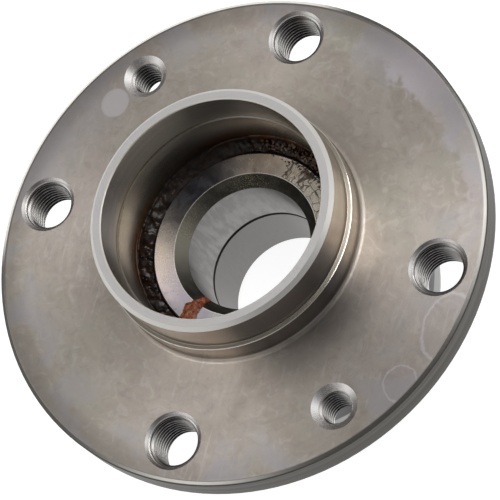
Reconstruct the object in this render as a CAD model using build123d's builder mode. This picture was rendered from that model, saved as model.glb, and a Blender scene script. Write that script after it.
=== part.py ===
"""Wheel hub bearing with a rotating flanged outer ring, in millimetres.

The origin lies on the hub axis in the wheel seating face. +Z points outboard, the way a
wheel leaves the hub. A stub axle carries the two inner rings, and the hub turns on two
rows of balls around them.
"""
import os
from math import cos, radians, sin

from build123d import *

os.makedirs("parts", exist_ok=True)

# Wheel flange
bolt_circle_radius = 54.0
bolt_count = 4
bolt_hole_radius = 6.0
bolt_sink_radius = 7.4
bolt_sink_angle = 76.0
screw_count = 2
screw_hole_radius = 4.0
screw_sink_radius = 5.9
screw_sink_angle = 94.0
screw_turn = 135.0
flange_margin = 10.3
flange_thickness = 11.2
flange_rim_width = 7.2
flange_rim_taper = 2.6
flange_lead_width = 1.15
flange_lead_depth = 0.8

# Centring spigot
wheel_seat_radius = 32.55
wheel_seat_height = 6.9
spigot_height = 18.0
spigot_step = 0.95
spigot_step_ramp = 0.4
spigot_root_radius = 1.25
spigot_wall = 3.1
spigot_rim_lead = 1.0
spigot_mouth_lead = 0.23
cap_seat_depth = 10.3
cap_seat_step = 0.4

# Barrel behind the flange
barrel_wall = 8.0
barrel_draft = 0.7
barrel_root_radius = 5.0
barrel_end_lead = 1.2
ring_stand_proud = 0.4

# Ball rows
ball_radius = 5.0
ball_count = 14
row_clear_of_cap_seat = 2.6
row_from_face = 8.49
contact_angle = 36.0
groove_share = 1.04
race_clearance = 0.03
row_stagger_share = 0.5

# Raceway shoulders, from the pitch circle
inner_shoulder_drop = 1.3
inner_low_drop = 4.3
outer_land_rise = 1.5
outer_low_rise = 3.6
seal_bore_rise = 5.7

# Inner rings
ring_floor = 4.65
ring_width = 20.25
ring_face_depth = 6.3
ring_lead_width = 2.75
ring_lead_depth = 3.0
ring_edge_lead = 0.3
ring_joint_lead = 0.6

# Clip that holds the two inner rings together
clip_sheet = 0.5
clip_hook_place = 2.2
clip_hook_width = 0.8
clip_hook_depth = 0.6
clip_play = 0.05
clip_gap = 6.0

# Cages
cage_inner_play = 0.25
cage_outer_play = 0.25
pocket_play = 0.12
cage_rim = 1.2
cage_horn = 1.8

# Seal between the inboard ring and the barrel
seal_sheet = 0.5
seal_ball_gap = 0.4
slinger_recess = 0.2
slinger_labyrinth = 0.5
case_recess = 0.2
case_flange_reach = 4.2
lip_sheet = 0.5
lip_clearance = 0.1

# Worked out radii
flange_radius = bolt_circle_radius + flange_margin
spigot_radius = wheel_seat_radius - spigot_step
cap_seat_radius = spigot_radius - spigot_wall
cap_throat_radius = cap_seat_radius - cap_seat_step
pitch_radius = cap_seat_radius - row_clear_of_cap_seat
stub_bore_radius = pitch_radius - ball_radius - ring_floor
inner_shoulder_radius = pitch_radius - inner_shoulder_drop
inner_low_radius = pitch_radius - inner_low_drop
outer_land_radius = pitch_radius + outer_land_rise
outer_low_radius = pitch_radius + outer_low_rise
seal_bore_radius = pitch_radius + seal_bore_rise
barrel_radius = seal_bore_radius + barrel_wall

# Worked out places along the axis
joint_z = -(ring_face_depth + ring_width)
ring_end_z = joint_z - ring_width
row_offset = ring_width - row_from_face
outboard_row_z = joint_z + row_offset
inboard_row_z = joint_z - row_offset
hub_end_z = ring_end_z + ring_stand_proud
seal_front_z = inboard_row_z - ball_radius - seal_ball_gap
cap_seat_z = spigot_height - cap_seat_depth

# The ball meets both grooves on one line, tilted by the contact angle, so the centre of
# each groove lies off the pitch circle on the far side of the ball.
groove_radius = ball_radius * groove_share
groove_offset = groove_radius - ball_radius - race_clearance
groove_shift = groove_offset * cos(radians(contact_angle))
groove_slide = groove_offset * sin(radians(contact_angle))


def save(builder, name):
    """Label a finished piece and write it under its own name."""
    builder.part.label = name
    export_step(builder.part, f"parts/{name}.step")


def make_hub():
    """Outer ring, wheel flange and spigot, forged in one and turned."""
    with BuildPart() as hub:
        with BuildSketch(Plane.XZ):
            with BuildLine():
                Polyline(
                    (cap_seat_radius + spigot_mouth_lead, spigot_height),
                    (spigot_radius - spigot_rim_lead, spigot_height),
                    (spigot_radius, spigot_height - spigot_rim_lead),
                    (spigot_radius, wheel_seat_height + spigot_step_ramp),
                    (wheel_seat_radius, wheel_seat_height),
                    (wheel_seat_radius, spigot_root_radius),
                )
                CenterArc(
                    (wheel_seat_radius + spigot_root_radius, spigot_root_radius),
                    spigot_root_radius, 180, 90,
                )
                Polyline(
                    (wheel_seat_radius + spigot_root_radius, 0),
                    (flange_radius - flange_lead_width, 0),
                    (flange_radius, -flange_lead_depth),
                    (flange_radius, -flange_rim_width),
                    (flange_radius - flange_rim_taper, -flange_thickness),
                    (barrel_radius + barrel_root_radius, -flange_thickness),
                )
                CenterArc(
                    (barrel_radius + barrel_root_radius, -flange_thickness - barrel_root_radius),
                    barrel_root_radius, 90, 90,
                )
                Polyline(
                    (barrel_radius, -flange_thickness - barrel_root_radius),
                    (barrel_radius - barrel_draft, hub_end_z + barrel_end_lead),
                    (barrel_radius - barrel_draft - barrel_end_lead, hub_end_z),
                    (seal_bore_radius + ring_edge_lead, hub_end_z),
                    (seal_bore_radius, hub_end_z + ring_edge_lead),
                    (seal_bore_radius, seal_front_z),
                    (outer_low_radius, seal_front_z),
                    (outer_low_radius, inboard_row_z),
                    (outer_land_radius, inboard_row_z),
                    (outer_land_radius, outboard_row_z),
                    (cap_throat_radius, outboard_row_z),
                    (cap_throat_radius, cap_seat_z),
                    (cap_seat_radius, cap_seat_z),
                    (cap_seat_radius, spigot_height - spigot_mouth_lead),
                    (cap_seat_radius + spigot_mouth_lead, spigot_height),
                )
            make_face()
        revolve(axis=Axis.Z)

        # Outer raceways, touched on the side of the middle land
        with BuildSketch(Plane.XZ):
            with Locations(
                (pitch_radius - groove_shift, outboard_row_z + groove_slide),
                (pitch_radius - groove_shift, inboard_row_z - groove_slide),
            ):
                Circle(groove_radius)
        revolve(axis=Axis.Z, mode=Mode.SUBTRACT)

        # Wheel bolt holes and the two screw holes of the brake disc
        with PolarLocations(bolt_circle_radius, bolt_count):
            CounterSinkHole(
                bolt_hole_radius, bolt_sink_radius,
                counter_sink_angle=bolt_sink_angle,
            )
        with PolarLocations(bolt_circle_radius, screw_count, start_angle=screw_turn):
            CounterSinkHole(
                screw_hole_radius, screw_sink_radius,
                counter_sink_angle=screw_sink_angle,
            )
    save(hub, "hub_flange")


def make_inner_ring(name, side):
    """One inner ring. Side is 1 for the outboard ring and -1 for the inboard one."""
    hook_near = clip_hook_place - clip_play
    hook_far = clip_hook_place + clip_hook_width + clip_play
    hook_floor = inner_low_radius - clip_hook_depth - clip_play
    outline = [
        (stub_bore_radius + ring_joint_lead, 0),
        (inner_low_radius, 0),
        (inner_low_radius, hook_near),
        (hook_floor, hook_near),
        (hook_floor, hook_far),
        (inner_low_radius, hook_far),
        (inner_low_radius, row_offset),
        (inner_shoulder_radius, row_offset),
        (inner_shoulder_radius, ring_width - ring_edge_lead),
        (inner_shoulder_radius - ring_edge_lead, ring_width),
        (stub_bore_radius + ring_lead_width, ring_width),
        (stub_bore_radius, ring_width - ring_lead_depth),
        (stub_bore_radius, ring_joint_lead),
    ]
    groove_z = joint_z + side * (row_offset - groove_slide)
    with BuildPart() as ring:
        with BuildSketch(Plane.XZ):
            with BuildLine():
                Polyline(*[(r, joint_z + side * d) for r, d in outline], close=True)
            make_face()
        revolve(axis=Axis.Z)

        # Inner raceway, touched on the side of the high shoulder
        with BuildSketch(Plane.XZ):
            with Locations((pitch_radius + groove_shift, groove_z)):
                Circle(groove_radius)
        revolve(axis=Axis.Z, mode=Mode.SUBTRACT)
    save(ring, name)


def make_ring_clip():
    """Split spring clip that hooks into a groove of each inner ring."""
    hook_end = clip_hook_place + clip_hook_width
    band_radius = inner_low_radius + clip_sheet
    hook_radius = inner_low_radius - clip_hook_depth
    with BuildPart() as clip:
        with BuildSketch(Plane.XZ):
            with BuildLine():
                Polyline(
                    (band_radius, joint_z + hook_end),
                    (hook_radius, joint_z + hook_end),
                    (hook_radius, joint_z + clip_hook_place),
                    (inner_low_radius, joint_z + clip_hook_place),
                    (inner_low_radius, joint_z - clip_hook_place),
                    (hook_radius, joint_z - clip_hook_place),
                    (hook_radius, joint_z - hook_end),
                    (band_radius, joint_z - hook_end),
                    close=True,
                )
            make_face()
        revolve(axis=Axis.Z)
        with BuildSketch(Plane.XY.offset(joint_z)):
            with Locations((band_radius, 0)):
                Rectangle(2 * band_radius, clip_gap, align=(Align.CENTER, Align.CENTER))
        extrude(amount=2 * hook_end, both=True, mode=Mode.SUBTRACT)
    save(clip, "ring_clip")


def make_cage(name, row_z, side):
    """Crown cage. Its horns point out of the bearing, its rim lies under the middle land."""
    rim_z = row_z - side * (ball_radius + pocket_play + cage_rim)
    horn_z = row_z + side * cage_horn
    with BuildPart() as cage:
        with BuildSketch(Plane.XY.offset(min(rim_z, horn_z))):
            Circle(outer_land_radius - cage_outer_play)
            Circle(inner_shoulder_radius + cage_inner_play, mode=Mode.SUBTRACT)
        extrude(amount=abs(horn_z - rim_z))
        with Locations(Plane.XY.offset(row_z)):
            with PolarLocations(pitch_radius, ball_count, start_angle=row_start(side)):
                Sphere(ball_radius + pocket_play, mode=Mode.SUBTRACT)
    save(cage, name)


def row_start(side):
    """Angle of a row's first ball. The inboard row stands half a step on."""
    step = 360 / ball_count
    return 0 if side > 0 else step * row_stagger_share


def make_balls(row_name, row_z, side):
    """The balls of one row, each a piece of its own."""
    for number in range(ball_count):
        turn = row_start(side) + number * 360 / ball_count
        with BuildPart() as ball:
            with Locations(Plane.XY.offset(row_z)):
                with PolarLocations(pitch_radius, 1, start_angle=turn):
                    Sphere(ball_radius)
        save(ball, f"ball_{row_name}_{number + 1:02d}")


def make_seal_slinger():
    """Pressed steel ring on the inboard ring's shoulder, which throws water off."""
    slinger_z = ring_end_z + slinger_recess
    slinger_radius = seal_bore_radius - seal_sheet - slinger_labyrinth
    sleeve_radius = inner_shoulder_radius + seal_sheet
    sleeve_z = seal_front_z - seal_sheet
    with BuildPart() as slinger:
        with BuildSketch(Plane.XZ):
            with BuildLine():
                Polyline(
                    (inner_shoulder_radius, slinger_z + ring_edge_lead),
                    (inner_shoulder_radius + ring_edge_lead, slinger_z),
                    (slinger_radius, slinger_z),
                    (slinger_radius, slinger_z + seal_sheet),
                    (sleeve_radius, slinger_z + seal_sheet),
                    (sleeve_radius, sleeve_z),
                    (inner_shoulder_radius, sleeve_z),
                    close=True,
                )
            make_face()
        revolve(axis=Axis.Z)
    save(slinger, "seal_slinger")


def make_seal_case():
    """Pressed steel case of the seal, seated in the end of the barrel."""
    case_end_z = hub_end_z + case_recess
    with BuildPart() as case:
        with BuildSketch(Plane.XZ):
            with BuildLine():
                Polyline(
                    (seal_bore_radius - case_flange_reach, seal_front_z),
                    (seal_bore_radius, seal_front_z),
                    (seal_bore_radius, case_end_z),
                    (seal_bore_radius - seal_sheet, case_end_z),
                    (seal_bore_radius - seal_sheet, seal_front_z - seal_sheet),
                    (seal_bore_radius - case_flange_reach, seal_front_z - seal_sheet),
                    close=True,
                )
            make_face()
        revolve(axis=Axis.Z)
    save(case, "seal_case")


def make_seal_lip():
    """Rubber bonded to the case, with one lip on the slinger's sleeve and one on its face."""
    slinger_face_z = ring_end_z + slinger_recess + seal_sheet
    sleeve_radius = inner_shoulder_radius + seal_sheet
    flange_edge = seal_bore_radius - case_flange_reach
    back_z = seal_front_z - seal_sheet
    front_z = back_z - lip_sheet
    radial_tip = sleeve_radius + lip_clearance
    axial_tip_z = slinger_face_z + lip_clearance
    axial_root = flange_edge + 2 * lip_sheet
    with BuildPart() as lip:
        with BuildSketch(Plane.XZ):
            with BuildLine():
                Polyline(
                    (flange_edge, back_z),
                    (seal_bore_radius - seal_sheet, back_z),
                    (seal_bore_radius - seal_sheet, front_z),
                    (axial_root + 2 * lip_sheet, front_z),
                    (axial_root + 3 * lip_sheet, axial_tip_z),
                    (axial_root + 2 * lip_sheet, axial_tip_z),
                    (axial_root, front_z),
                    (flange_edge - lip_sheet, front_z),
                    (radial_tip, front_z - lip_sheet),
                    (radial_tip, front_z),
                    (flange_edge - lip_sheet, seal_front_z),
                    (flange_edge, seal_front_z),
                    close=True,
                )
            make_face()
        revolve(axis=Axis.Z)
    save(lip, "seal_lip")


make_hub()
make_inner_ring("inner_ring_outboard", 1)
make_inner_ring("inner_ring_inboard", -1)
make_ring_clip()
make_seal_slinger()
make_seal_case()
make_seal_lip()
make_cage("cage_outboard", outboard_row_z, 1)
make_cage("cage_inboard", inboard_row_z, -1)
make_balls("outboard", outboard_row_z, 1)
make_balls("inboard", inboard_row_z, -1)
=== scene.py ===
"""Looks of the wheel hub bearing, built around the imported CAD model.

The scene is in metres, with the origin on the hub axis in the wheel seating face and +Z
outboard. Sizes and shader coordinates are in millimetres unless a comment says otherwise.
"""
from math import cos, hypot, pi, radians, sin, sqrt, tan
from random import Random

import bmesh
import bpy
from mathutils import Matrix, Vector, noise


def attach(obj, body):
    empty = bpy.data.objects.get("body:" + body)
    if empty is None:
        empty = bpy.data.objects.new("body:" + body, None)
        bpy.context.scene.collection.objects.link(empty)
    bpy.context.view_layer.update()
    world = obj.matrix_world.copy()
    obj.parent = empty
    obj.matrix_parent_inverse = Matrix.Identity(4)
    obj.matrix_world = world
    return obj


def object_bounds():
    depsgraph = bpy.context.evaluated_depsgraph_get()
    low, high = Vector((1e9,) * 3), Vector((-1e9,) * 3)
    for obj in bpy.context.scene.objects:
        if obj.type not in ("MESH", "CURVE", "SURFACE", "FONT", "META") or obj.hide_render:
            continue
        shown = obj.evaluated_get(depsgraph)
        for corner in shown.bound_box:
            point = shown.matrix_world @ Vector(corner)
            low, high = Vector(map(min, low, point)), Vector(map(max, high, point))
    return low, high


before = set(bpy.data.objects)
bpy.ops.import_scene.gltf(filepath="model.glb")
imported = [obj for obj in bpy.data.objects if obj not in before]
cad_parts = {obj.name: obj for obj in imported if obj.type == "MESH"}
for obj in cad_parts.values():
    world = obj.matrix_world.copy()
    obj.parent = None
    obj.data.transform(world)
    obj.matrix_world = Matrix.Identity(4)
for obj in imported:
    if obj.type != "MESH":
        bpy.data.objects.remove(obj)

cad_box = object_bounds()
mm = 0.001

# Sizes that the pieces and materials made here share with the solids
bolt_circle_radius = 54.0
bolt_hole_radius = 6.0
bolt_sink_radius = 7.4
bolt_seat_angle = 90.0
screw_hole_radius = 4.0
screw_sink_radius = 5.9
screw_seat_angle = 98.0
screw_turn = 135.0
flange_thickness = 11.2
flange_radius = 64.3
seat_radius = 32.55
seat_height = 6.9
spigot_radius = 31.6
spigot_height = 18.0
rim_inner_radius = 28.73
throat_radius = 28.1
cap_seat_z = 7.7
ring_face_z = -6.3
ring_shoulder_radius = 24.6
ring_face_inner_radius = 19.0
ring_bore_radius = 16.25
ring_chamfer_end_z = -9.3
ring_joint_z = -26.55
ring_rear_z = -46.8
rim_bevel_z = 17.6
lead_start_z = -0.11
lead_end_z = -0.8
barrel_band_z = -39.4

# Limits in radius and height that tell the surfaces of the hub apart
bore_limit_radius = 28.58
wall_limit_radius = 28.9
barrel_limit_radius = 31.75
barrel_limit_z = -7.5

# Colour of steel that mirrors nothing bright
unlit_tone = (0.03, 0.028, 0.027)

# Azimuths run in degrees round the hub axis from +X toward +Y. This one is the side that
# the photo shows at its upper left.
upper_left = 318

# Threads, in millimetres but for the slope and the counts
bolt_thread_depth = 0.32
screw_thread_depth = 0.34
bolt_seat_end_z = -0.75
screw_seat_end_z = -1.45
thread_mouth_slope = 0.66
thread_pitch = 1.25
thread_rows_per_turn = 16
thread_segments = 72

# Camera, fitted to the edges of the flange and the centres of its holes. Angles are in
# degrees, distance and aim in metres, lens and sensor in millimetres.
camera_azimuth = 147.81
camera_elevation = 59.59
camera_roll = 44.61
camera_distance = 0.64453
camera_aim = Vector((-4.993, 3.374, 0)) * mm
camera_lens = 189.14
sensor_width = 36.0


# Shader building

class Shader:
    """A material under construction. Each call adds a node and returns its output."""

    def __init__(self, owner):
        self.owner = bpy.data.materials.new(owner) if isinstance(owner, str) else owner
        self.owner.use_nodes = True
        self.tree = self.owner.node_tree
        self.tree.nodes.clear()
        self.coords = None
        self.axes = None

    def node(self, kind, inputs=None, **settings):
        made = self.tree.nodes.new("ShaderNode" + kind)
        for key, value in settings.items():
            setattr(made, key, value)
        for key, value in (inputs or {}).items():
            if isinstance(value, bpy.types.NodeSocket):
                self.tree.links.new(value, made.inputs[key])
            else:
                made.inputs[key].default_value = value
        return made

    def math(self, operation, a, b=0.0, clamp=False):
        return self.node("Math", {0: a, 1: b}, operation=operation, use_clamp=clamp).outputs[0]

    def place(self):
        """Object coordinates in millimetres, so that texture scales read per millimetre."""
        if self.coords is None:
            raw = self.node("TexCoord").outputs["Object"]
            self.coords = self.node("VectorMath", {0: raw, 3: 1 / mm}, operation="SCALE").outputs[0]
        return self.coords

    def split(self):
        """The three object coordinates in millimetres."""
        if self.axes is None:
            self.axes = tuple(self.node("SeparateXYZ", {0: self.place()}).outputs)
        return self.axes

    def length(self, x, y):
        return self.math("SQRT", self.plus(self.times(x, x), self.times(y, y)))

    def polar(self):
        """Radius, turn in radians and height of the shaded point."""
        x, y, z = self.split()
        return self.length(x, y), self.math("ARCTAN2", y, x), z

    def vector(self, x, y, z):
        return self.node("CombineXYZ", {0: x, 1: y, 2: z}).outputs[0]

    def noise(self, scale, detail, rough, where=None, warp=0.0):
        return self.node("TexNoise", {
            "Vector": where or self.place(), "Scale": scale, "Detail": detail,
            "Roughness": rough, "Distortion": warp}).outputs["Fac"]

    def span(self, value, low, high, to_low=0.0, to_high=1.0):
        """Map low..high softly to to_low..to_high, held at both ends."""
        return self.node("MapRange", {0: value, 1: low, 2: high, 3: to_low, 4: to_high},
                         interpolation_type="SMOOTHSTEP").outputs[0]

    def band(self, value, low, high, soft):
        """One inside low..high and zero outside, with soft edges."""
        return self.times(self.span(value, low - soft, low + soft),
                          self.under(value, high - soft, high + soft))

    def plus(self, a, b):
        return self.math("ADD", a, b)

    def minus(self, a, b):
        return self.math("SUBTRACT", a, b)

    def times(self, a, b):
        """Product. Of two shares it is the share where both hold."""
        return self.math("MULTIPLY", a, b)

    def under(self, value, low, high):
        """One below low, falling softly to zero at high."""
        return self.span(value, low, high, 1.0, 0.0)

    def either(self, a, b):
        return self.math("MAXIMUM", a, b)

    def size(self, a):
        return self.math("ABSOLUTE", a)

    def turn_near(self, x, y, azimuth, tight):
        """One at the given azimuth, falling to zero away from it; tight sharpens the fall."""
        a = radians(azimuth)
        along = self.plus(self.times(x, cos(a)), self.times(y, sin(a)))
        share = self.math("DIVIDE", along, self.length(x, y), clamp=True)
        return self.math("POWER", share, tight)

    def toward(self, azimuth, tight):
        """The same for the shaded point, round the hub axis."""
        x, y, _ = self.split()
        return self.turn_near(x, y, azimuth, tight)

    def mix(self, share, a, b):
        """Colour between a and b."""
        made = self.node("Mix", {0: share}, data_type="RGBA")
        for slot, value in ((6, a), (7, b)):
            if isinstance(value, bpy.types.NodeSocket):
                self.tree.links.new(value, made.inputs[slot])
            else:
                made.inputs[slot].default_value = (*value, 1)
        return made.outputs[2]

    def layers(self, colour, *coats):
        """Lay coats over a colour, each given as a share and a tone."""
        for share, tone in coats:
            colour = self.mix(share, colour, tone)
        return colour

    def blend(self, share, a, b):
        """Number between a and b."""
        return self.node("Mix", {0: share, 2: a, 3: b}, data_type="FLOAT").outputs[0]

    def bump(self, height, strength, distance):
        return self.node("Bump", {
            "Strength": strength, "Distance": distance * mm, "Height": height}).outputs[0]

    def hole_gaps(self):
        """Distance from the axis of the nearest bolt hole and of the nearest screw hole."""
        x, y, _ = self.split()
        ax, ay = self.size(x), self.size(y)
        bolt = self.length(self.minus(self.math("MAXIMUM", ax, ay), bolt_circle_radius),
                           self.math("MINIMUM", ax, ay))
        u = self.times(self.minus(x, y), sqrt(0.5))
        v = self.times(self.plus(x, y), sqrt(0.5))
        screw = self.length(self.minus(self.size(u), bolt_circle_radius), v)
        return bolt, screw

    def near(self, radius, azimuth, reach_x=1.0, reach_y=1.0):
        """Distance from a spot on the face, measured in ellipses of the given half widths."""
        x, y, _ = self.split()
        a = radians(azimuth)
        dx = self.minus(x, radius * cos(a))
        dy = self.minus(y, radius * sin(a))
        return self.length(self.math("DIVIDE", dx, reach_x), self.math("DIVIDE", dy, reach_y))

    def grooves(self, scatter=None):
        """Tangent round the axis. Where scatter is one it points anywhere, as on a matte face."""
        tangent = self.node("Tangent", direction_type="RADIAL", axis="Z").outputs[0]
        if scatter is None:
            return tangent
        mess = self.node("TexNoise", {
            "Vector": self.place(), "Scale": 40.0, "Detail": 0.0}).outputs["Color"]
        mess = self.node("VectorMath", {0: mess, 1: (0.5, 0.5, 0.5)}, operation="SUBTRACT")
        push = self.node("VectorMath", {0: mess.outputs[0], 3: self.times(scatter, 12.0)},
                         operation="SCALE")
        return self.node("VectorMath", {0: tangent, 1: push.outputs[0]}, operation="ADD").outputs[0]

    def finish(self, **inputs):
        """Close the material with a Principled shader. Its inputs have _ for a space."""
        names = {key.replace("_", " "): value for key, value in inputs.items()}
        for key, value in list(names.items()):
            if isinstance(value, tuple) and len(value) == 3:
                names[key] = (*value, 1)
        surface = self.node("BsdfPrincipled", names)
        out = self.node("OutputMaterial")
        self.tree.links.new(surface.outputs[0], out.inputs["Surface"])
        return self.owner


def face_paint(s, bands, blotch):
    """Flange face: warm grey with stains and dried drips, painted shade where less light falls."""
    x, y, height = s.split()
    radius = s.length(x, y)
    tint = s.noise(0.035, 3.0, 0.55, warp=0.6)
    patch = s.noise(0.22, 3.0, 0.6, warp=0.5)
    smudge = s.noise(0.30, 3.0, 0.62, warp=1.2)
    cloud = s.noise(0.05, 3.0, 0.6, warp=0.8)
    slanted = s.vector(s.times(s.plus(x, y), 0.12), s.times(s.minus(x, y), 3.0), height)
    scratch = s.noise(1.0, 1.0, 0.5, slanted)
    drip = s.noise(0.9, 2.0, 0.55, s.vector(x, s.times(y, 0.12), height))
    drip = s.times(s.span(drip, 0.56, 0.70, 0.0, 0.42), s.span(tint, 0.44, 0.56))
    violet = s.times(s.span(radius, 46.0, 60.0), s.span(cloud, 0.47, 0.60))
    face = s.layers(
        s.mix(s.span(blotch, 0.3, 0.7), (0.385, 0.340, 0.295), (0.49, 0.44, 0.39)),
        (s.span(tint, 0.45, 0.7, 0.0, 0.5), (0.45, 0.385, 0.365)),
        (s.span(tint, 0.3, 0.45, 0.5, 0.0), (0.415, 0.405, 0.34)),
        (s.span(bands, 0.35, 0.7, 0.0, 0.25), (0.51, 0.455, 0.40)),
        (s.span(patch, 0.5, 0.7, 0.0, 0.4), (0.385, 0.36, 0.325)),
        (s.span(scratch, 0.70, 0.76, 0.0, 0.25), (0.52, 0.48, 0.44)),
        (s.span(smudge, 0.53, 0.68, 0.0, 0.38), (0.57, 0.525, 0.49)),
        (s.span(smudge, 0.33, 0.46, 0.34, 0.0), (0.32, 0.29, 0.265)),
        (drip, (0.57, 0.52, 0.48)),
        (s.times(violet, 0.65), (0.41, 0.395, 0.415)))

    # A dried round drop and two small pale spots
    drop = s.plus(s.near(53.4, 326, 4.1, 4.3), s.times(tint, 0.3))
    face = s.layers(
        face,
        (s.span(drop, 0.94, 1.16, 0.75, 0.0), (0.62, 0.595, 0.60)),
        (s.times(s.band(drop, 1.0, 1.1, 0.05), 0.4), (0.64, 0.61, 0.59)),
        (s.span(s.near(42.9, 222), 0.5, 1.0, 0.6, 0.0), (0.55, 0.50, 0.45)),
        (s.span(s.near(39.2, 206), 0.5, 1.0, 0.6, 0.0), (0.55, 0.50, 0.45)))

    # A violet grey stain along the edge and the outlines of two dried drips
    reach = s.plus(radius, s.span(blotch, 0.3, 0.7, -2.2, 2.2))
    reach = s.plus(reach, s.span(smudge, 0.3, 0.7, -0.7, 0.7))
    reach = s.plus(reach, s.times(s.toward(233, 60), 3.5))
    sector = s.either(s.toward(234, 50), s.times(s.toward(208, 12), 0.4))
    stained = s.times(s.span(reach, 56.5, 59.0), sector)
    face = s.mix(s.times(stained, 0.8), face, (0.60, 0.555, 0.60))
    for dried in ((62.2, 166.5, 6.3, 9.0), (60.6, 150.5, 4.2, 4.7)):
        outline = s.plus(s.near(*dried), s.span(smudge, 0.3, 0.7, -0.05, 0.05))
        face = s.layers(
            face,
            (s.span(outline, 0.93, 1.0, 0.25, 0.0), (0.46, 0.42, 0.43)),
            (s.times(s.band(outline, 0.92, 1.01, 0.04), 0.6), (0.62, 0.59, 0.60)))

    # Painted shade where less light falls: toward the edge, on two sectors, beside the spigot
    toward_edge = s.times(s.span(radius, 55.5, 62.5), s.blend(s.toward(168, 0.8), 0.36, 0.0))
    sectors = s.times(s.either(s.toward(182, 14), s.toward(95, 14)), 0.15)
    root = s.times(s.span(radius, 33.5, 49.0, 0.58, 0.0), s.toward(147, 6))
    outermost = s.times(s.span(s.toward(upper_left, 1.0), 0.2, 0.5, 0.0, 0.5),
                        s.span(radius, flange_radius - 1.75, flange_radius - 1.35))
    return s.layers(
        face,
        (s.either(s.plus(toward_edge, sectors), root), unlit_tone),
        (outermost, unlit_tone))


def seat_paint(s, turn, bands):
    """Seat and spigot wall, with painted shade in two dark bands where they mirror no lamp."""
    unlit = s.either(s.times(s.band(turn, 1.97, 2.25, 0.10), 0.5),
                     s.times(s.band(turn, 2.66, 3.02, 0.11), 0.62))
    return s.layers(
        s.mix(s.span(bands, 0.3, 0.7), (0.36, 0.31, 0.255), (0.43, 0.37, 0.31)),
        # Painted reflections: a cooler grey between the dark bands and a pale warm highlight
        (s.times(s.band(turn, 2.0, 3.0, 0.10), 0.45), (0.33, 0.335, 0.35)),
        (unlit, (0.10, 0.10, 0.105)),
        (s.times(s.toward(103, 70), 0.6), (0.66, 0.56, 0.47)))


def bore_paint(s, height, bands, blotch, grain):
    """Wall inside the spigot: painted straw highlights, an amber band, rust where the grease ends.
    """
    # Painted highlights on the wall at two azimuths
    straw_highlight = s.either(s.times(s.toward(10, 8), s.band(height, 1.5, 9.0, 2.5)),
                     s.times(s.toward(282, 14), s.band(height, 3.5, 6.0, 1.5)))
    amber = s.times(s.toward(14, 7), s.band(height, -4.0, -1.8, 0.9))
    rust = s.times(s.under(s.plus(height, s.times(blotch, 5.0)), 1.0, 4.5),
                   s.either(s.toward(293, 12), s.times(s.toward(20, 10), 0.6)))
    return s.layers(
        s.mix(s.span(bands, 0.3, 0.7), (0.20, 0.175, 0.145), (0.27, 0.24, 0.20)),
        (s.times(straw_highlight, 0.8), (0.40, 0.335, 0.225)),
        (s.times(amber, s.span(blotch, 0.35, 0.6, 0.5, 0.95)), (0.50, 0.27, 0.08)),
        (s.times(rust, 0.85),
         s.mix(s.span(grain, 0.3, 0.7), (0.10, 0.04, 0.02), (0.18, 0.08, 0.04))))


def barrel_paint(s, height, bands):
    """Cooler grey barrel with painted shade on two sides, but for the turned band at its end."""
    painted_shade_sides = s.either(s.toward(138, 10), s.times(s.toward(190, 6), 0.8))
    above_band = s.span(height, barrel_band_z - 0.3, barrel_band_z + 0.3)
    return s.layers(
        s.mix(s.span(bands, 0.3, 0.7), (0.33, 0.33, 0.325), (0.44, 0.44, 0.435)),
        (s.times(s.times(painted_shade_sides, 0.9), above_band), (0.072, 0.066, 0.072)))


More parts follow.
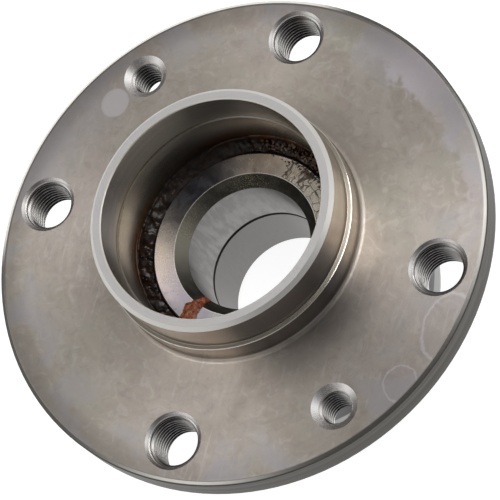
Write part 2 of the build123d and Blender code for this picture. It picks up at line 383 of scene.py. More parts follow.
def turned_steel():
    """Turned hub: warm grey faces, matte rim, dark bore, cooler grey barrel behind."""
    s = Shader("hub_turned_steel")
    radius, turn, height = s.polar()
    # Turning marks run round the axis, so their noise is stretched along the turn
    marks = s.noise(3.5, 2.0, 0.6, s.vector(radius, s.times(turn, 0.5), height))
    bands = s.noise(0.5, 3.0, 0.6, s.vector(radius, s.times(turn, 0.6), height))
    blotch = s.noise(0.05, 4.0, 0.6, warp=1.0)
    grain = s.noise(7.0, 2.0, 0.7)

    # Where the surfaces of the hub lie
    on_wall = s.times(s.span(height, 0.2, 1.0),
                      s.span(radius, wall_limit_radius, wall_limit_radius + 0.2))
    on_rim = s.span(height, spigot_height - 0.06, spigot_height - 0.02)
    on_bevel = s.times(on_wall, s.span(height, spigot_height - 1.05, spigot_height - 0.97))
    in_bore = s.times(s.under(radius, bore_limit_radius, bore_limit_radius + 0.08),
                      s.under(height, rim_bevel_z, rim_bevel_z + 0.15))
    on_side = s.times(s.span(radius, flange_radius - 2.66, flange_radius - 2.62),
                      s.under(height, lead_end_z - 0.02, lead_end_z + 0.02))
    on_lead = s.times(s.span(radius, flange_radius - 1.02, flange_radius - 0.95),
                      s.band(height, lead_end_z, lead_start_z, 0.02))
    behind = s.times(s.under(height, barrel_limit_z, barrel_limit_z + 0.3),
                     s.span(radius, barrel_limit_radius, barrel_limit_radius + 0.15))
    at_ledge = s.times(s.band(radius, throat_radius - 0.05, throat_radius + 0.36, 0.03),
                       s.band(height, cap_seat_z - 0.08, cap_seat_z + 0.08, 0.03))
    shoulder = s.times(s.band(radius, spigot_radius + 0.05, seat_radius - 0.2, 0.05),
                       s.band(height, seat_height, seat_height + 0.5, 0.1))
    bolt_gap, screw_gap = s.hole_gaps()
    in_sink = s.either(s.under(bolt_gap, bolt_sink_radius - 0.05, bolt_sink_radius),
                       s.under(screw_gap, screw_sink_radius - 0.05, screw_sink_radius))
    in_sink = s.times(in_sink, s.band(height, -3.0, -0.045, 0.015))

    # Bright edges of the step and of the rim: wear, with a painted highlight along them
    step_edge = s.times(s.band(radius, seat_radius - 0.12, seat_radius + 0.1, 0.04),
                        s.band(height, seat_height - 0.18, seat_height + 0.1, 0.03))
    rim_edge = s.times(s.band(radius, rim_inner_radius - 0.3, rim_inner_radius + 0.06, 0.05),
                       s.span(height, rim_bevel_z, rim_bevel_z + 0.1))
    edge = s.either(step_edge, s.times(rim_edge, 0.9))
    # Painted reflections of the lamps on two sectors of the lead and of the pale floor opposite
    painted_lead_reflection = s.times(s.either(s.toward(97, 22), s.toward(197, 14)),
                       s.under(radius, flange_radius - 0.42, flange_radius - 0.25))
    painted_lead_reflection = s.either(painted_lead_reflection, s.span(s.toward(upper_left, 1.0), 0.50, 0.66))

    rim = s.mix(s.span(grain, 0.3, 0.7), (0.55, 0.53, 0.525), (0.68, 0.665, 0.66))
    # Dark tone of the flange's side and lead: painted shade
    side = s.mix(s.span(bands, 0.3, 0.7), (0.080, 0.075, 0.069), (0.125, 0.117, 0.107))
    sink = s.mix(s.span(grain, 0.35, 0.65), (0.46, 0.44, 0.435), (0.95, 0.93, 0.91))
    colour = s.layers(
        face_paint(s, bands, blotch),
        (on_wall, seat_paint(s, turn, bands)),
        (on_bevel, (0.62, 0.60, 0.57)),
        (on_rim, rim),
        (in_bore, bore_paint(s, height, bands, blotch, grain)),
        (behind, barrel_paint(s, height, bands)),
        (s.either(on_side, on_lead), side),
        (s.times(painted_lead_reflection, on_lead), (0.88, 0.85, 0.80)),
        (in_sink, sink),
        # Painted shade on the shoulder, with a painted highlight toward azimuth 192
        (shoulder, s.mix(s.toward(192, 12), (0.22, 0.20, 0.165), (0.46, 0.41, 0.34))),
        # Painted highlight on the ledge toward azimuth 276
        (at_ledge, s.mix(s.toward(276, 14), (0.27, 0.245, 0.205), (0.50, 0.47, 0.42))),
        (edge, (0.80, 0.76, 0.69)))

    rough = s.span(marks, 0.2, 0.8, 0.33, 0.42)
    for share, value in (
            (on_wall, 0.17), (on_bevel, 0.34), (on_rim, 0.60), (in_bore, 0.27),
            (behind, s.span(marks, 0.2, 0.8, 0.36, 0.46)), (on_lead, 0.5),
            (s.either(in_sink, s.either(at_ledge, shoulder)), 0.50)):
        rough = s.blend(share, rough, value)
    plain = s.either(s.either(on_rim, shoulder), s.either(in_sink, s.either(at_ledge, on_lead)))
    relief = s.plus(s.times(marks, 0.5), s.times(grain, s.blend(plain, 0.25, 2.0)))
    return s.finish(
        Base_Color=colour, Metallic=1.0, Roughness=rough, Anisotropic=0.82,
        Anisotropic_Rotation=0.25, Tangent=s.grooves(plain), Normal=s.bump(relief, 0.12, 0.03))


def ground_steel():
    """Inner rings: ground faces and bore, black scale left on the mouth's bevel."""
    s = Shader("ring_ground_steel")
    x, y, height = s.split()
    radius, turn, _ = s.polar()
    grind = s.noise(5.0, 2.0, 0.6, s.vector(radius, s.times(turn, 0.8), height))
    streak = s.noise(0.5, 3.0, 0.6, s.vector(s.times(x, 0.7), y, s.times(height, 0.25)))
    speck = s.noise(4.5, 2.0, 0.6)
    stain = s.noise(0.18, 3.0, 0.6, warp=0.8)
    mottle = s.noise(0.35, 2.0, 0.5)

    # Painted reflections on the face: lilac toward azimuth 50, dark slate toward 322, warm toward
    # 270
    face = s.layers(
        s.mix(s.span(stain, 0.35, 0.65), (0.46, 0.445, 0.45), (0.55, 0.515, 0.485)),
        (s.times(s.toward(50, 6), 0.8), (0.64, 0.59, 0.68)),
        (s.times(s.toward(322, 4), 0.92), (0.105, 0.11, 0.14)),
        (s.times(s.toward(270, 10), 0.6), (0.62, 0.50, 0.38)),
        (s.span(speck, 0.69, 0.74), (0.09, 0.06, 0.04)))
    # Painted glints and a painted highlight toward azimuth 8 on the bevel's scale
    painted_glints = s.times(s.span(speck, 0.58, 0.63), s.either(s.toward(285, 14), s.toward(350, 20)))
    scale = s.layers(
        s.mix(s.span(mottle, 0.35, 0.65), (0.045, 0.042, 0.036), (0.085, 0.080, 0.068)),
        (s.times(s.toward(8, 8), 0.85), (0.33, 0.315, 0.265)),
        (painted_glints, (0.50, 0.46, 0.30)),
        (s.span(speck, 0.72, 0.76, 0.0, 0.6), (0.30, 0.29, 0.20)))
    # Painted shade: the bore beyond the joint, deeper in, is darker
    beyond_joint = s.span(height, ring_joint_z - 0.1, ring_joint_z + 0.1, 0.75, 0.0)
    bore = s.layers(
        s.mix(s.span(streak, 0.38, 0.62), (0.245, 0.24, 0.235), (0.385, 0.375, 0.365)),
        (beyond_joint, (0.20, 0.195, 0.19)),
        (s.span(speck, 0.68, 0.75, 0.0, 0.4), (0.12, 0.11, 0.10)))
    track = s.mix(s.span(grind, 0.3, 0.7), (0.46, 0.45, 0.44), (0.55, 0.54, 0.53))

    at_face = s.span(height, ring_face_z - 0.06, ring_face_z - 0.02)
    # The bevels of both rings start equally far from the joint
    from_joint = s.size(s.minus(height, ring_joint_z))
    bevel_start = ring_chamfer_end_z - ring_joint_z
    at_bevel = s.times(s.span(from_joint, bevel_start - 0.05, bevel_start + 0.05),
                       s.under(radius, ring_face_inner_radius + 0.02,
                               ring_face_inner_radius + 0.06))
    in_bore = s.times(s.under(radius, ring_bore_radius + 0.75, ring_bore_radius + 0.85),
                      s.under(from_joint, bevel_start - 0.05, bevel_start + 0.05))
    joint = s.band(height, ring_joint_z - 0.62, ring_joint_z + 0.62, 0.05)
    # Painted highlight along the inner edge of the face
    rim = s.band(radius, ring_face_inner_radius - 0.1, ring_face_inner_radius + 0.14, 0.04)

    colour = s.layers(
        s.mix(at_face, track, face),
        (s.under(height, ring_rear_z + 0.05, ring_rear_z + 0.1), face),
        (in_bore, bore),
        (s.times(joint, 0.85), (0.05, 0.048, 0.045)),
        (at_bevel, scale),
        (s.times(rim, at_face), (0.85, 0.82, 0.76)))
    rough = s.blend(at_face, 0.30, s.span(stain, 0.3, 0.7, 0.17, 0.30))
    rough = s.blend(in_bore, rough, s.span(streak, 0.3, 0.7, 0.33, 0.42))
    rough = s.blend(at_bevel, rough, 0.42)
    relief = s.plus(grind, s.times(speck, s.blend(at_bevel, 0.3, 2.0)))
    return s.finish(
        Base_Color=colour, Metallic=s.blend(at_bevel, 1.0, 0.75), Roughness=rough,
        Anisotropic=0.5, Anisotropic_Rotation=0.25, Tangent=s.grooves(),
        Normal=s.bump(relief, 0.10, 0.03))


def cut_thread_steel(name, hole_radius, seat_end_z, seat_shade_share):
    """Freshly cut threads of one size: light crests, painted shade in the roots, a torn seat."""
    s = Shader(name)
    radius, turn, height = s.polar()
    torn = s.noise(4.0, 3.0, 0.7)
    soft = s.noise(1.2, 2.0, 0.5)
    # The same helix as in make_thread, whose crest lies at three eighths of the pitch
    turns = s.math("DIVIDE", turn, 2 * pi)
    share = s.math("FRACT", s.minus(s.math("DIVIDE", height, thread_pitch), turns))
    crest = s.under(s.size(s.minus(share, 0.375)), 0.13, 0.30)
    # Torn steps stand twice as close in the mouth, where the drill's cone cuts the first turn
    step = s.math("FRACT", s.times(share, 2.0))
    step = s.under(s.size(s.minus(step, 0.5)), 0.10, 0.32)
    in_mouth = s.span(radius, hole_radius - 0.04, hole_radius + 0.04)
    crest = s.blend(in_mouth, crest, step)

    # Painted reflections: the walls are bright where they would mirror the lamps, dark elsewhere
    left, right = s.toward(25, 6), s.toward(240, 7)
    root = s.mix(left, (0.020, 0.018, 0.019), (0.52, 0.50, 0.48))
    root = s.mix(right, root, (0.96, 0.94, 0.92))
    top = s.layers(
        s.mix(s.span(soft, 0.35, 0.65), (0.085, 0.080, 0.079), (0.17, 0.163, 0.160)),
        (in_mouth, (0.27, 0.26, 0.255)),
        (s.either(left, right), (0.98, 0.96, 0.93)))

    # Painted shade on the seat at two azimuths and painted highlights at two others
    dull = s.either(s.toward(325, 5), s.toward(90, 6))
    gleam = s.either(s.toward(8, 8.0), s.toward(248, 7.0))
    gleam = s.times(gleam, s.span(torn, 0.30, 0.50, 0.75, 1.0))
    gleam = s.times(gleam, s.span(height, seat_end_z + 0.02, seat_end_z + 0.28, 0.25, 1.0))
    lip = s.times(s.band(height, seat_end_z - 0.02, seat_end_z + 0.07, 0.03),
                  s.toward(upper_left, 5))
    seat = s.layers(
        s.mix(s.span(torn, 0.40, 0.62), (0.30, 0.28, 0.275), (0.60, 0.57, 0.55)),
        (s.times(dull, seat_shade_share), (0.15, 0.14, 0.138)),
        (gleam, (0.98, 0.96, 0.94)),
        (lip, (0.50, 0.48, 0.465)))
    on_seat = s.span(height, seat_end_z - 0.06, seat_end_z - 0.02)
    return s.finish(
        Base_Color=s.mix(on_seat, s.mix(crest, root, top), seat), Metallic=1.0,
        Roughness=s.blend(on_seat, s.span(soft, 0.3, 0.7, 0.30, 0.38), 0.42),
        Normal=s.bump(torn, 0.12, 0.03))


def rolled_steel(name, dark, light, rough, scale):
    """Bright small parts: a fine rolled grain under a thin film of oil."""
    s = Shader(name)
    radius, turn, height = s.polar()
    grain = s.noise(scale, 3.0, 0.6)
    film = s.noise(0.5, 3.0, 0.55, warp=0.5)
    rub = s.noise(4.0, 2.0, 0.5, s.vector(radius, s.times(turn, 0.7), height))
    rubbed = tuple(min(1.0, c * 1.3) for c in light)
    colour = s.mix(s.span(film, 0.35, 0.65), dark, light)
    colour = s.mix(s.span(rub, 0.6, 0.8, 0.0, 0.35), colour, rubbed)
    return s.finish(
        Base_Color=colour, Metallic=1.0, Roughness=s.span(grain, 0.25, 0.75, rough, rough + 0.12),
        Normal=s.bump(grain, 0.15, 0.02))


def cage_plastic():
    """Amber glass-filled polyamide, with short fibres just under the skin."""
    s = Shader("cage_amber_plastic")
    x, y, height = s.split()
    fibre = s.noise(3.0, 2.0, 0.7, s.vector(s.times(x, 3.0), y, s.times(height, 0.6)))
    cloud = s.noise(0.3, 3.0, 0.5)
    colour = s.mix(s.span(cloud, 0.3, 0.7), (0.30, 0.17, 0.045), (0.42, 0.26, 0.085))
    colour = s.mix(s.span(fibre, 0.62, 0.72, 0.0, 0.4), colour, (0.62, 0.48, 0.25))
    return s.finish(
        Base_Color=colour, Roughness=s.span(fibre, 0.3, 0.7, 0.38, 0.52),
        Subsurface_Weight=0.08, Subsurface_Scale=1.0 * mm, Normal=s.bump(fibre, 0.2, 0.03))


def seal_rubber():
    """Matt black nitrile with a dusting of talc and a faint moulding grain."""
    s = Shader("seal_rubber")
    dust = s.noise(0.6, 4.0, 0.65)
    grain = s.noise(6.0, 2.0, 0.6)
    colour = s.mix(s.span(dust, 0.4, 0.75, 0.0, 0.6), (0.018, 0.018, 0.019), (0.055, 0.053, 0.050))
    return s.finish(Base_Color=colour, Roughness=s.span(grain, 0.3, 0.7, 0.52, 0.68),
                    Normal=s.bump(grain, 0.25, 0.03))


def wet_grease():
    """Old dark grease: glossy brown black, thinner and redder where it is drawn out."""
    s = Shader("grease_dark")
    height = s.split()[2]
    cloud = s.noise(0.55, 4.0, 0.6)
    fine = s.noise(2.4, 3.0, 0.65)
    colour = s.mix(s.span(cloud, 0.40, 0.72), (0.006, 0.0035, 0.002), (0.035, 0.015, 0.008))
    colour = s.mix(s.span(height, -4.4, -2.7, 0.0, 0.6), colour, (0.16, 0.06, 0.022))
    dull = s.toward(upper_left, 6)
    rough = s.blend(dull, s.span(fine, 0.35, 0.7, 0.07, 0.18), 0.60)
    return s.finish(Base_Color=colour, Roughness=rough,
                    Specular_IOR_Level=0.32, Normal=s.bump(fine, 0.35, 0.12))


def dry_grease():
    """Crumbs of dried grease mixed with rust, dull red brown."""
    s = Shader("grease_crumbs")
    fine = s.noise(2.2, 4.0, 0.65)
    cloud = s.noise(0.5, 2.0, 0.5)
    colour = s.mix(s.span(fine, 0.3, 0.7), (0.030, 0.014, 0.008), (0.15, 0.085, 0.055))
    colour = s.mix(s.span(cloud, 0.50, 0.7, 0.0, 0.7), colour, (0.27, 0.215, 0.15))
    return s.finish(Base_Color=colour, Roughness=s.span(fine, 0.3, 0.7, 0.28, 0.65),
                    Specular_IOR_Level=0.5, Normal=s.bump(fine, 0.6, 0.2))


def cracked_coat():
    """Dried pale grease, flaked and cracked, warm grey with brown in the cracks."""
    s = Shader("grease_cracked_coat")
    height = s.split()[2]
    fine = s.noise(3.0, 4.0, 0.65)
    cloud = s.noise(0.4, 3.0, 0.5)
    colour = s.mix(s.span(fine, 0.3, 0.7), (0.50, 0.45, 0.37), (0.78, 0.72, 0.62))
    colour = s.mix(s.span(cloud, 0.45, 0.7, 0.0, 0.6), colour, (0.56, 0.40, 0.26))
    deep = s.span(height, ring_face_z + 0.05, ring_face_z + 0.16, 0.92, 0.0)
    colour = s.mix(deep, colour, (0.055, 0.030, 0.018))
    return s.finish(Base_Color=colour, Metallic=0.25, Roughness=s.span(fine, 0.3, 0.7, 0.40, 0.60),
                    Normal=s.bump(fine, 0.5, 0.12))


def rust_smear_paint():
    """Rust red smear of old grease, orange where thin and wet at its ridges."""
    s = Shader("grease_rust_smear")
    fine = s.noise(1.8, 4.0, 0.65)
    cloud = s.noise(0.45, 3.0, 0.55)
    colour = s.mix(s.span(fine, 0.3, 0.7), (0.10, 0.018, 0.006), (0.30, 0.070, 0.018))
    colour = s.mix(s.span(cloud, 0.5, 0.7, 0.0, 0.7), colour, (0.42, 0.14, 0.035))
    return s.finish(Base_Color=colour, Roughness=s.span(fine, 0.35, 0.7, 0.22, 0.5),
                    Specular_IOR_Level=0.5, Normal=s.bump(fine, 0.6, 0.2))


def dress_solids():
    """Give every carried-over CAD node its material, picked by how the node's name begins."""
    sheet = rolled_steel("seal_sheet_steel", dark=(0.36, 0.35, 0.33), light=(0.50, 0.49, 0.47),
                         rough=0.30, scale=5.0)
    ball = rolled_steel("ball_polished_steel", dark=(0.58, 0.57, 0.56), light=(0.70, 0.69, 0.69),
                        rough=0.05, scale=7.0)
    clip = rolled_steel("clip_spring_steel", dark=(0.10, 0.11, 0.13), light=(0.17, 0.18, 0.20),
                        rough=0.30, scale=6.0)
    materials = (
        ("hub_flange", turned_steel()), ("inner_ring", ground_steel()),
        ("seal_lip", seal_rubber()), ("seal", sheet), ("ball", ball), ("cage", cage_plastic()),
        ("ring_clip", clip))
    for name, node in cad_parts.items():
        fitting = next(material for prefix, material in materials if name.startswith(prefix))
        node.data.materials.clear()
        node.data.materials.append(fitting)


# Pieces

def add_piece(name, verts, faces, material, body, place=(0.0, 0.0)):
    """A mesh piece given in millimetres about a place on the flange, riding on a body."""
    mesh = bpy.data.meshes.new(name)
    mesh.from_pydata([tuple(c * mm for c in v) for v in verts], [], faces)
    mesh.materials.append(material)
    bm = bmesh.new()
    bm.from_mesh(mesh)
    bmesh.ops.recalc_face_normals(bm, faces=bm.faces)
    bm.to_mesh(mesh)
    bm.free()
    mesh.polygons.foreach_set("use_smooth", [True] * len(mesh.polygons))
    piece = bpy.data.objects.new(name, mesh)
    piece.location = (place[0] * mm, place[1] * mm, 0)
    bpy.context.scene.collection.objects.link(piece)
    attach(piece, body)
    return piece


def loops_mesh(loops, closed=True):
    """Points and quads of a row of loops, which runs back to the first loop if closed."""
    around = len(loops[0])
    verts = [point for loop in loops for point in loop]
    faces = []
    for i in range(len(loops) if closed else len(loops) - 1):
        here, beyond = i * around, (i + 1) % len(loops) * around
        for j in range(around):
            k = (j + 1) % around
            faces.append((here + j, here + k, beyond + k, beyond + j))
    return verts, faces


def make_thread(name, place, hole_radius, sink_radius, seat_angle, seat_end_z, depth, material):
    """The tapped lining of one hole, from its countersunk seat down to the rear face."""
    clear = 0.012  # left between the lining and the solid
    mouth_step = 0.24  # height of the torn steps in the mouth
    back_end = 0.5  # the lining's straight back ends this far below its mouth
    slope = tan(radians(seat_angle / 2))
    bottom = -flange_thickness + 0.05
    rows = round(-bottom / thread_pitch * thread_rows_per_turn)
    major = hole_radius - 0.05

    def flank(share):
        """How far the thread stands in at this share of the pitch, from zero to one."""
        ramp = 0.25
        if share < ramp:
            return share / ramp
        if share < 0.5:
            return 1.0
        if share < 0.5 + ramp:
            return 1.0 - (share - 0.5) / ramp
        return 0.0

    seat_end_radius = sink_radius - clear + seat_end_z * slope
    foot_z = seat_end_z - (seat_end_radius - hole_radius + clear) / thread_mouth_slope

    def lead(height, groove):
        """The seat's cone and, below it, the steeper mouth where the thread begins."""
        if height > seat_end_z:
            return sink_radius - clear + height * slope
        return seat_end_radius + (height - seat_end_z) * thread_mouth_slope - groove

    def loop(height, radius_at):
        turns = [2 * pi * j / thread_segments for j in range(thread_segments)]
        return [(radius_at(t) * cos(t), radius_at(t) * sin(t), height) for t in turns]

    loops = []
    for i in range(rows + 1):
        z = -clear + (bottom + clear) * i / rows
        rear_lead = major - 0.1 + bottom - z

        def wall(t):
            """Radius of the lining on this loop."""
            stand = flank((z / thread_pitch - t / (2 * pi)) % 1.0)
            return max(major - depth * stand, lead(z, mouth_step * stand), rear_lead)

        loops.append(loop(z, wall))
    loops.append(loop(bottom, lambda t: hole_radius - clear))
    loops.append(loop(foot_z - back_end, lambda t: hole_radius - clear))
    verts, faces = loops_mesh(loops)
    piece = add_piece(name, verts, faces, material, "hub", place)
    piece.data.set_sharp_from_angle(angle=radians(50))


def make_threads():
    bolt_steel = cut_thread_steel("bolt_thread_steel", bolt_hole_radius, bolt_seat_end_z, 0.8)
    screw_steel = cut_thread_steel("screw_thread_steel", screw_hole_radius, screw_seat_end_z, 0.35)
    for i in range(4):
        a = radians(90 * i)
        place = (bolt_circle_radius * cos(a), bolt_circle_radius * sin(a))
        make_thread(f"wheel_bolt_thread_{i + 1}", place, bolt_hole_radius, bolt_sink_radius,
                    bolt_seat_angle, bolt_seat_end_z, bolt_thread_depth, bolt_steel)
    for i in range(2):
        a = radians(screw_turn + 180 * i)
        place = (bolt_circle_radius * cos(a), bolt_circle_radius * sin(a))
        make_thread(f"disc_screw_thread_{i + 1}", place, screw_hole_radius, screw_sink_radius,
                    screw_seat_angle, screw_seat_end_z, screw_thread_depth, screw_steel)


def lumps(point, scale, octaves=3):
    """Smooth noise from -1 to 1 at a point given in millimetres."""
    return noise.fractal(Vector(point) * scale, 1.0, 2.0, octaves, noise_basis="PERLIN_ORIGINAL")


def arc_share(azimuth, centre, half):
    """One at the centre of an arc of azimuths, zero at half its width and beyond."""
    gap = abs((azimuth - centre + 180) % 360 - 180)
    return max(0.0, 1 - gap / half)


def make_grease_ring(material):
    """Grease pressed out of the outboard row, standing against the wall of the hub."""
    around, across = 540, 16
    inner, outer = ring_shoulder_radius + 0.16, throat_radius - 0.03
    hidden_z = -8.9
    loops = []
    for j in range(around):
        azimuth = 360 * j / around
        a = radians(azimuth)
        c, si = cos(a), sin(a)
        wave = lumps((c * 9, si * 9, 3), 0.35)
        climb = (-4.7 + 0.8 * wave + 1.9 * arc_share(azimuth, 262, 50)
                 + 0.8 * arc_share(azimuth, 20, 30))
        foot = -7.3 + 0.35 * lumps((c * 14, si * 14, 8), 0.4)
        loop = [(outer * c, outer * si, hidden_z), (outer * c, outer * si, climb)]
        for i in range(1, across):
            share = i / across
            radius = outer + (inner - outer) * share
            x, y = radius * c, radius * si
            z = climb + (foot - climb) * (share ** 0.7)
            z += 0.60 * lumps((x, y, 0), 0.45, 2) + 0.16 * lumps((x, y, 5), 1.3, 2)
            loop.append((x, y, min(z, climb + 0.6)))
        loop.append((inner * c, inner * si, foot - 0.5))
        loop.append((inner * c, inner * si, hidden_z))
        loops.append(loop)
    verts, faces = loops_mesh(loops)
    add_piece("grease_ring", verts, faces, material, "hub")


def make_grease_threads(material):
    """Thin drawn-out strings of grease, left where a tool touched the wall."""
    around = 8

    def ridge(name, path, thick):
        """A round ridge along a path of azimuths, radii and heights, thin at both ends."""
        loops = []
        for k, (azimuth, radius, z) in enumerate(path):
            a = radians(azimuth)
            share = k / (len(path) - 1)
            r = thick * (0.25 + 0.75 * sin(pi * min(max(share, 0.04), 0.96)))
            loop = []
            for m in range(around):
                t = 2 * pi * m / around
                out = radius + r * cos(t)
                loop.append((out * cos(a), out * sin(a), z + r * sin(t)))
            loops.append(loop)
        verts, faces = loops_mesh(loops, closed=False)
        faces += [tuple(range(around)), tuple(range(len(verts) - around, len(verts)))]
        add_piece(name, verts, faces, material, "hub")

    def smooth_path(points, steps=10):
        """Catmull-Rom curve through a few points."""
        out = []
        ends = [points[0]] + points + [points[-1]]
        for i in range(1, len(ends) - 2):
            p0, p1, p2, p3 = (Vector(p) for p in ends[i - 1:i + 3])
            for k in range(steps):
                t = k / steps
                twice = (2 * p1 + (p2 - p0) * t + (2 * p0 - 5 * p1 + 4 * p2 - p3) * t * t
                         + (3 * p1 - p0 - 3 * p2 + p3) * t ** 3)
                out.append(tuple(0.5 * twice))
        return out + [points[-1]]

    ridge("grease_thread_top", smooth_path(
        [(315, 25.2, -4.9), (310, 26.4, -4.2), (304, 27.5, -3.8), (298, 27.75, -3.6),
         (291, 27.8, -3.5), (284, 27.7, -3.9)]), 0.20)
    ridge("grease_thread_left", smooth_path(
        [(4, 27.85, -3.2), (12, 27.82, -2.7), (22, 27.8, -2.9), (32, 27.78, -3.4),
         (42, 27.7, -4.2)]), 0.16)


def blob(rng, centre, size, verts, faces):
    """Append one ragged lump, an icosphere pushed about by noise."""
    bm = bmesh.new()
    bmesh.ops.create_icosphere(bm, subdivisions=2, radius=1.0)
    shift = Vector((rng.uniform(0, 90), rng.uniform(0, 90), rng.uniform(0, 90)))
    squash = Vector((rng.uniform(0.7, 1.3), rng.uniform(0.7, 1.3), rng.uniform(0.5, 0.9)))
    base = len(verts)
    for v in bm.verts:
        push = 1 + 0.45 * noise.noise(v.co * 1.6 + shift)
        p = v.co * push * size
        verts.append(tuple(c + q * k for c, q, k in zip(centre, p, squash)))
    faces.extend(tuple(base + v.index for v in f.verts) for f in bm.faces)
    bm.free()


def make_crumbs(material):
    """Crumbled grease caught between the wall and the inner ring, and on the ring's edge."""
    rng = Random(7)
    verts, faces = [], []
    # Mean and spread of the azimuths, least and largest size, number, and rise toward the wall
    piles = (((250, 15), (0.16, 0.44), 150, 0.85), ((20, 28), (0.10, 0.26), 30, 0.75))
    for azimuths, sizes, count, rise in piles:
        for _ in range(count):
            a = radians(rng.gauss(*azimuths))
            size = rng.uniform(*sizes)
            radius = max(rng.uniform(25.4, 27.5), ring_shoulder_radius + 0.12 + size * 1.8)
            radius = min(radius, throat_radius - 0.05 - size * 1.5)
            z = -6.5 + (radius - 25.0) * rise + rng.uniform(-0.2, 0.6)
            blob(rng, (radius * cos(a), radius * sin(a), z), size, verts, faces)
    add_piece("grease_crumbs", verts, faces, material, "hub")
    verts, faces = [], []
    for _ in range(70):
        a = radians(rng.gauss(240, 10))
        size = rng.uniform(0.12, 0.34)
        radius = min(rng.uniform(23.0, 24.4), ring_shoulder_radius - size)
        blob(rng, (radius * cos(a), radius * sin(a), ring_face_z + size * 0.6), size, verts, faces)
    add_piece("grease_crumbs_on_ring", verts, faces, material, "axle_rings")


def ring_front(along):
    """Place and outward normal on the front of the inner ring, in radius and height.

    Along runs inward from the shoulder over the flat face, then down the bevel.
    """
    edge_radius = ring_shoulder_radius - 0.3
    face = edge_radius - ring_face_inner_radius
    if along <= face:
        return (edge_radius - along, ring_face_z), (0.0, 1.0)
    run = hypot(ring_face_inner_radius - ring_bore_radius, ring_face_z - ring_chamfer_end_z)
    across = (ring_bore_radius - ring_face_inner_radius) / run
    down = (ring_chamfer_end_z - ring_face_z) / run
    t = along - face
    return (ring_face_inner_radius + across * t, ring_face_z + down * t), (down, -across)


def make_coat(name, height, material, centre, half, reach, step):
    """A thin closed coat on the front of the inner ring.

    Height gives its thickness at an azimuth offset and a place along the front; where that
    is nothing or less the coat ends. Centre, half width and step are azimuths in degrees,
    and reach is how far it may run along the front.
    """
    mean_radius = 21
    columns = round(2 * half / step)
    row_step = radians(step) * mean_radius
    rows = round(reach / row_step)
    top, keep = {}, set()
    for i in range(columns + 1):
        for j in range(rows + 1):
            top[i, j] = height(-half + i * step, j * row_step)
    for i in range(columns):
        for j in range(rows):
            if min(top[i, j], top[i + 1, j], top[i, j + 1], top[i + 1, j + 1]) > 0:
                keep.add((i, j))
    index, verts, faces = {}, [], []

    def corner(i, j, upper):
        key = (i, j, upper)
        if key not in index:
            (radius, z), (nr, nz) = ring_front(j * row_step)
            lift = max(top[i, j], 0.02) if upper else 0.004
            a = radians(centre - half + i * step)
            r = radius + nr * lift
            index[key] = len(verts)
            verts.append((r * cos(a), r * sin(a), z + nz * lift))
        return index[key]

    for i, j in sorted(keep):
        ring = [(i, j), (i + 1, j), (i + 1, j + 1), (i, j + 1)]
        faces.append(tuple(corner(a, b, True) for a, b in ring))
        faces.append(tuple(corner(a, b, False) for a, b in reversed(ring)))
        for k, beside in enumerate(((i, j - 1), (i + 1, j), (i, j + 1), (i - 1, j))):
            if beside not in keep:
                a, b = ring[k], ring[(k + 1) % 4]
                faces.append((corner(*a, True), corner(*a, False),
                              corner(*b, False), corner(*b, True)))
    add_piece(name, verts, faces, material, "axle_rings")


def make_cracked_coat(material):
    """The cracked pale patch on the ring's face, split into flakes."""
    rng = Random(23)
    centre, half = 235, 34
    seeds = [(rng.uniform(-half, half), rng.uniform(-0.5, 6.2)) for _ in range(62)]

    def height(offset, along):
        azimuth = centre + offset
        # Flakes are narrow and radial toward the top, large and blocky lower down
        narrow = max(0.0, min(1.0, (azimuth - 236) / 12))
        sx, sy = 0.36 * (1 + 1.0 * narrow), 1.0 / (1 + 1.6 * narrow)
        bend = 1.1 * noise.noise(Vector((offset * 0.22, along * 0.8, 4.0)))
        px, py = (offset + bend * 1.5) * sx, (along + bend * 0.35) * sy
        near = far = 1e9
        for ux, uy in seeds:
            d = hypot(px - ux * sx, py - uy * sy)
            if d < near:
                near, far = d, near
            elif d < far:
                far = d
        crack = max(0.0, 1 - (far - near) / 0.30)
        edge = min(along - 0.15, 5.15 - along + 0.2 * lumps((offset * 0.5, 2, 7), 1.0))
        fade_top = 22 + 2.5 * lumps((along, 5, 1), 0.8) - offset
        fade_low = offset + 31
        body = min(edge * 2.0, fade_top * 0.35, fade_low * 0.4)
        if body <= 0:
            return -1.0
        relief = (0.17 + 0.05 * lumps((offset * 0.35, along, 2), 1.1)
                  + 0.02 * lumps((offset, along * 3, 6), 1.5))
        return min(relief, 0.05 + body * 0.2) * (1 - 0.75 * crack)

    make_coat("grease_cracked_patch", height, material, centre, half, reach=5.2, step=0.28)


def make_rust_smear(material):
    """The rust red smear over the ring's face and bevel."""
    def height(offset, along):
        flare = max(0.0, 1 - abs(along - 3.2) / 1.7)
        middle = 2.5 - 0.5 * along + 0.045 * along * along - 1.5 * flare
        width = 6.2 - 0.25 * along + 1.6 * flare + 1.0 * lumps((along, 3, 2), 0.7)
        side = 1 - abs(offset - middle) / width
        tip = (9.1 - along + 0.5 * lumps((offset * 0.4, 1, 1), 0.8)) * 0.8
        end = min(1.0, tip, (along + 0.3) * 1.2)
        body = min(side * 2.2, end) + 0.22 * lumps((offset * 0.35, along, 3), 1.2)
        if body <= 0.05:
            return -1.0
        rise = 1 + 2.0 * max(0.0, min(1.0, (along - 4.5) / 3))
        return rise * min(body, 1.0) * (0.30 + 0.16 * lumps((offset * 0.35, along, 8), 1.0)
                                 + 0.08 * lumps((offset * 0.35, along, 5), 2.8))

    make_coat("grease_rust_smear", height, material, centre=65, half=16, reach=9.35, step=0.36)


# Stage

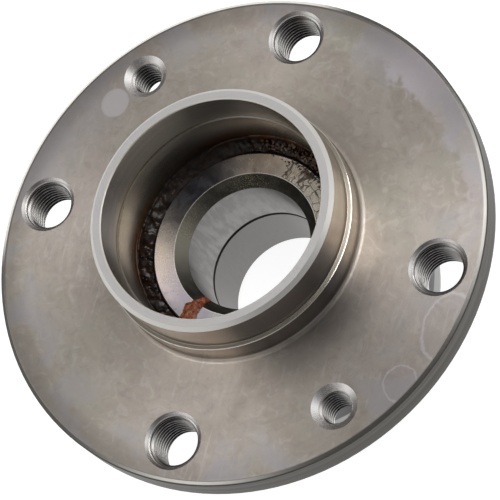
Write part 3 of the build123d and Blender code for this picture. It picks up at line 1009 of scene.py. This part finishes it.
def camera_axes():
    """Up and backward directions of the camera."""
    azimuth, elevation, roll = (radians(a) for a in (camera_azimuth, camera_elevation, camera_roll))
    back = Vector((cos(elevation) * cos(azimuth), cos(elevation) * sin(azimuth), sin(elevation)))
    level_up = (Vector((0, 0, 1)) - back * back.z).normalized()
    level_right = level_up.cross(back)
    up = level_up * cos(roll) + level_right * sin(roll)
    return up, back


def look_along(back, up):
    """Rotation whose local -Z looks against back and whose local Y is close to up."""
    right = up.cross(back).normalized()
    return Matrix((right, back.cross(right), back)).transposed().to_4x4()


def make_camera():
    up, back = camera_axes()
    data = bpy.data.cameras.new("camera")
    data.lens = camera_lens
    data.sensor_width = sensor_width
    data.clip_start = 0.01
    camera = bpy.data.objects.new("camera", data)
    eye = camera_aim + back * camera_distance
    camera.matrix_world = Matrix.Translation(eye) @ look_along(back, up)
    bpy.context.scene.collection.objects.link(camera)
    bpy.context.scene.camera = camera


def softbox(name, direction, distance, size, power):
    """An area lamp seen from the hub in the given direction."""
    direction = Vector(direction).normalized()
    data = bpy.data.lights.new(name, "AREA")
    data.shape = "RECTANGLE"
    data.size, data.size_y = size
    data.energy = power
    lamp = bpy.data.objects.new(name, data)
    aim = look_along(direction, Vector((0, 0, 1)))
    lamp.matrix_world = Matrix.Translation(direction * distance) @ aim
    bpy.context.scene.collection.objects.link(lamp)


def make_floor():
    """White floor under the part, which looks bright but throws little light back up."""
    side = 4.0
    z = cad_box[0][2]
    corners = [(-side, -side, z), (side, -side, z), (side, side, z), (-side, side, z)]
    mesh = bpy.data.meshes.new("floor")
    mesh.from_pydata(corners, [], [(0, 1, 2, 3)])
    ground = bpy.data.objects.new("floor", mesh)
    bpy.context.scene.collection.objects.link(ground)
    s = Shader("floor_white")
    path = s.node("LightPath").outputs
    seen = s.either(path["Is Camera Ray"], path["Is Glossy Ray"])
    seen = s.either(seen, path["Is Transmission Ray"])
    diffuse = s.node("BsdfDiffuse", {"Color": (0.30, 0.30, 0.30, 1)}).outputs[0]
    glow = s.node("Emission", {"Color": (1, 1, 1, 1), "Strength": 0.92}).outputs[0]
    lit = s.node("AddShader", {0: diffuse, 1: glow}).outputs[0]
    pick = s.node("MixShader", {0: seen, 1: diffuse, 2: lit}).outputs[0]
    # Clear from below, so that the rear of the hub can be looked at
    clear = s.node("BsdfTransparent").outputs[0]
    from_below = s.node("NewGeometry").outputs["Backfacing"]
    pick = s.node("MixShader", {0: from_below, 1: pick, 2: clear}).outputs[0]
    s.node("OutputMaterial", {"Surface": pick})
    mesh.materials.append(s.owner)


def make_world():
    """Pale at the horizon, darker overhead and behind the camera, as in an open light tent."""
    world = bpy.data.worlds.new("studio")
    bpy.context.scene.world = world
    s = Shader(world)
    x, y, z = s.node("SeparateXYZ", {0: s.node("TexCoord").outputs["Generated"]}).outputs
    level = s.span(z, 0.08, 0.55, 0.98, 0.56)
    level = s.times(level, s.span(s.turn_near(x, y, camera_azimuth, 1.0), 0.5, 0.95, 1.0, 0.46))
    light = s.node("Background", {"Color": (1, 1, 1, 1), "Strength": level})
    s.node("OutputWorld", {"Surface": light.outputs[0]})


def make_lights():
    softbox("above_front", (-0.30, -0.38, 0.875), distance=1.2, size=(0.66, 0.66), power=5.4)
    softbox("left_front", (0.41, 0.17, 0.90), distance=1.2, size=(0.30, 0.50), power=1.6)


bpy.context.scene.view_settings.view_transform = "Standard"
make_camera()
make_world()
make_lights()
make_floor()
dress_solids()
make_threads()
grease = wet_grease()
make_grease_ring(grease)
make_grease_threads(grease)
make_crumbs(dry_grease())
make_cracked_coat(cracked_coat())
make_rust_smear(rust_smear_paint())
